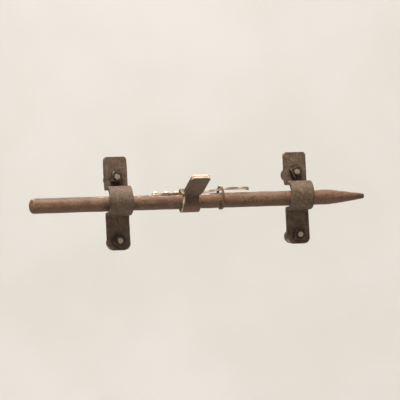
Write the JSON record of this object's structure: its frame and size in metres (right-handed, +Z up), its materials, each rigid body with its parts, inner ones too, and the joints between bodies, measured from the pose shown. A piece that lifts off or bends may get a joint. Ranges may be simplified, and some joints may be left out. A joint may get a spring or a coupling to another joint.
{
  "type": "toggle bolt latch",
  "caption": "Round slide bar with a tapered nose in two bolted saddle keepers, with a swinging toggle handle and a riveted spring leaf, for a plank door.",
  "frame": {"origin": "on the door's face, midway between the two keepers, level with the bar's axis", "axes": "+X along the bar towards its tapered nose, +Z up, +Y into the door"},
  "size_m": [0.358, 0.0856, 0.0966],
  "materials": {
    "bar_iron": "warm brown rust, worn to dull metal along the top",
    "keeper_iron": "dark brown scale with rust bloom",
    "bolt_iron": "dark rust with worn corners",
    "toggle_iron": "dark brown iron, worn bright on its edges",
    "leaf_steel": "spring steel rubbed bright, with rust in the hollows"
  },
  "bodies": {
    "keepers": {"keeper_left": "keeper_iron", "bolt_left_upper": "bolt_iron", "nut_left_upper": "bolt_iron", "bolt_left_lower": "bolt_iron", "nut_left_lower": "bolt_iron", "keeper_right": "keeper_iron", "bolt_right_upper": "bolt_iron", "nut_right_upper": "bolt_iron", "bolt_right_lower": "bolt_iron", "nut_right_lower": "bolt_iron"},
    "bar": {"slide_bar": "bar_iron", "spring_leaf": "leaf_steel", "leaf_rivet_1": "leaf_steel", "leaf_rivet_2": "leaf_steel", "leaf_rivet_3": "leaf_steel", "leaf_band": "toggle_iron"},
    "toggle": {"toggle_handle": "toggle_iron"}
  },
  "joints": [
    {"name": "bar_slide", "type": "slide", "parent": "keepers", "child": "bar", "axis": [1, 0, 0], "range_m": [-0.052, 0.0705]},
    {"name": "toggle_swing", "type": "hinge", "parent": "bar", "child": "toggle", "pos_m": [-0.0222, -0.01291, 0.00081], "axis": [1, 0, 0], "range_deg": [-74, 126]}
  ]
}
